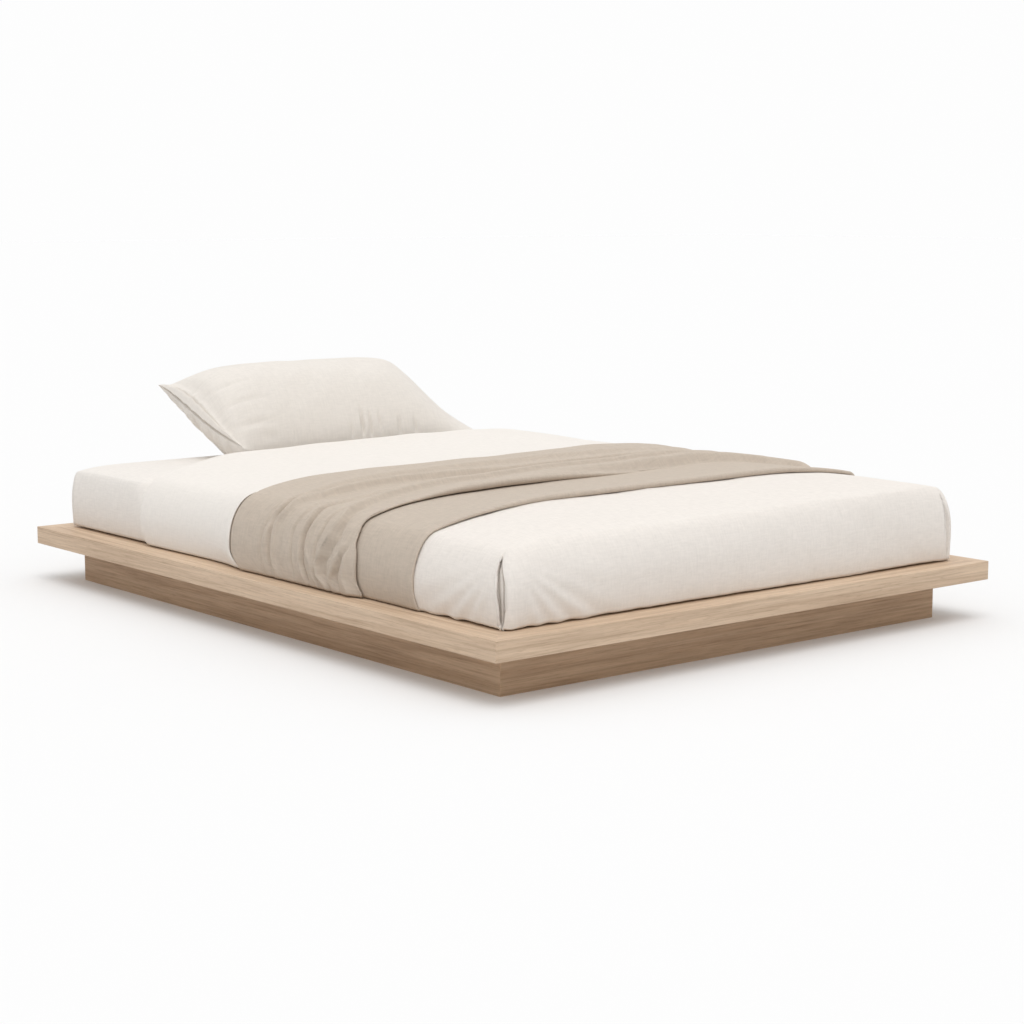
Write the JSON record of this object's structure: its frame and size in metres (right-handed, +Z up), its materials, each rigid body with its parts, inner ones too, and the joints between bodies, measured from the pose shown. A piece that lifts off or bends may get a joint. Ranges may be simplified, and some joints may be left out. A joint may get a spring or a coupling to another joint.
{
  "type": "platform bed",
  "caption": "Low oak platform bed: wide mitred deck on a set-back plinth, slatted base, made-up mattress with a throw, and a pillow.",
  "frame": {"origin": "on the floor, under the middle of the deck", "axes": "+X across the bed, +Y to the head, +Z up"},
  "size_m": [1.7, 2.19, 0.6294],
  "materials": {
    "oak": "light oak, matt oiled, fine straight grain",
    "inner_wood": "plain softwood, planed",
    "slat_wood": "pale planed slats",
    "tenon_wood": "beech",
    "zinc_plate": "zinc-plated sheet",
    "screw_steel": "plated wire",
    "tape": "woven tape",
    "ticking": "woven mattress cover",
    "sheet": "pale linen, matt",
    "coverlet": "cream linen, matt",
    "top_sheet": "white linen, matt",
    "throw": "taupe soft weave",
    "pillow": "cream linen, matt"
  },
  "bodies": {
    "frame": {"side_rail_left": "oak", "side_rail_right": "oak", "foot_rail": "oak", "head_rail": "oak", "plinth_left": "oak", "plinth_right": "oak", "plinth_foot": "oak", "plinth_head": "oak", "plinth_corner_blocks": "inner_wood", "centre_beam": "inner_wood", "cross_bearer_foot": "inner_wood", "cross_bearer_head": "inner_wood", "slat_ledger_left": "inner_wood", "slat_ledger_right": "inner_wood", "mitre_tenons": "tenon_wood", "corner_plates": "zinc_plate", "deck_brackets": "zinc_plate", "brace_brackets": "zinc_plate", "corner_plate_screws": "screw_steel", "deck_bracket_screws": "screw_steel", "brace_bracket_screws": "screw_steel", "ledger_screws": "screw_steel", "plinth_corner_screws": "screw_steel"},
    "slat_base": {"slat_01": "slat_wood", "slat_02": "slat_wood", "slat_03": "slat_wood", "slat_04": "slat_wood", "slat_05": "slat_wood", "slat_06": "slat_wood", "slat_07": "slat_wood", "slat_08": "slat_wood", "slat_09": "slat_wood", "slat_10": "slat_wood", "slat_11": "slat_wood", "slat_12": "slat_wood", "slat_13": "slat_wood", "slat_14": "slat_wood", "slat_tape_left": "tape", "slat_tape_right": "tape", "tape_staples": "screw_steel"},
    "mattress": {"mattress": "ticking", "fitted_sheet": "sheet", "coverlet": "coverlet", "top_sheet": "top_sheet", "throw_blanket": "throw"},
    "pillow": {"pillow": "pillow"}
  },
  "joints": [
    {"name": "slat_base_lift", "type": "slide", "parent": "frame", "child": "slat_base", "axis": [0, 0, 1], "range_m": [0, 0.35]},
    {"name": "mattress_lift", "type": "slide", "parent": "slat_base", "child": "mattress", "axis": [0, 0, 1], "range_m": [0, 0.5]},
    {"name": "pillow_lift", "type": "slide", "parent": "mattress", "child": "pillow", "axis": [0, 0, 1], "range_m": [0, 0.4]}
  ]
}
